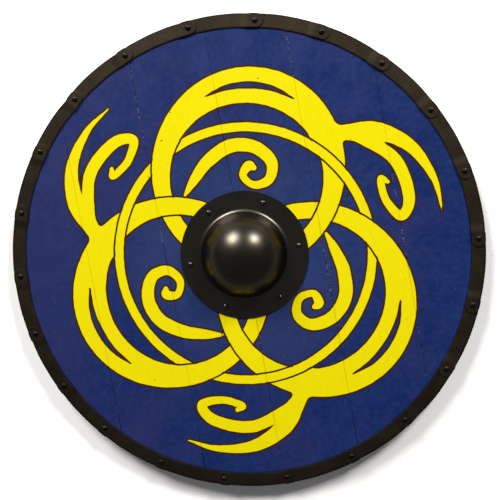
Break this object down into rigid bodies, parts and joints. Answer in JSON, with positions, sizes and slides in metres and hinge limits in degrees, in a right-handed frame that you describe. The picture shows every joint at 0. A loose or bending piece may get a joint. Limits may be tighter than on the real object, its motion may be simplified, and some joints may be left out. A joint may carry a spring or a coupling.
{
  "type": "round shield",
  "caption": "Round wooden shield of painted planks with a domed steel boss, a riveted steel rim of lapped strips, and a hand grip and battens across the back.",
  "frame": {"origin": "under the middle of the boss, at the level of the surface that the grip and the battens rest on", "axes": "+Z out of the painted face, +X along the hand grip, +Y along the planks towards the upper edge"},
  "size_m": [0.76, 0.7599, 0.0883],
  "materials": {
    "planks": "satin paint on the face, bare planed wood on the back",
    "rim": "blackened and oiled sheet steel, satin",
    "boss": "blackened and oiled sheet steel, satin with soft highlights",
    "rivets": "blackened steel, worn a little brighter on top",
    "bars": "bare planed hardwood"
  },
  "bodies": {
    "root": {"plank_1": "planks", "plank_2": "planks", "plank_3": "planks", "plank_4": "planks", "plank_5": "planks", "plank_6": "planks", "rim_strip_01": "rim", "rim_strip_02": "rim", "rim_strip_03": "rim", "rim_strip_04": "rim", "rim_strip_05": "rim", "rim_strip_06": "rim", "rim_strip_07": "rim", "rim_strip_08": "rim", "rim_strip_09": "rim", "rim_strip_10": "rim", "rim_strip_11": "rim", "rim_strip_12": "rim", "rim_strip_13": "rim", "rim_strip_14": "rim", "rim_strip_15": "rim", "rim_strip_16": "rim", "rim_strip_17": "rim", "rim_strip_18": "rim", "rim_strip_19": "rim", "rim_strip_20": "rim", "rim_strip_21": "rim", "rim_strip_22": "rim", "rim_rivet_01": "rivets", "rim_rivet_02": "rivets", "rim_rivet_03": "rivets", "rim_rivet_04": "rivets", "rim_rivet_05": "rivets", "rim_rivet_06": "rivets", "rim_rivet_07": "rivets", "rim_rivet_08": "rivets", "rim_rivet_09": "rivets", "rim_rivet_10": "rivets", "rim_rivet_11": "rivets", "rim_rivet_12": "rivets", "rim_rivet_13": "rivets", "rim_rivet_14": "rivets", "rim_rivet_15": "rivets", "rim_rivet_16": "rivets", "rim_rivet_17": "rivets", "rim_rivet_18": "rivets", "rim_rivet_19": "rivets", "rim_rivet_20": "rivets", "rim_rivet_21": "rivets", "rim_rivet_22": "rivets", "boss": "boss", "boss_rivet_1": "rivets", "boss_rivet_2": "rivets", "boss_rivet_3": "rivets", "boss_rivet_4": "rivets", "boss_rivet_5": "rivets", "boss_rivet_6": "rivets", "grip": "bars", "batten_upper": "bars", "batten_lower": "bars"}
  },
  "joints": []
}
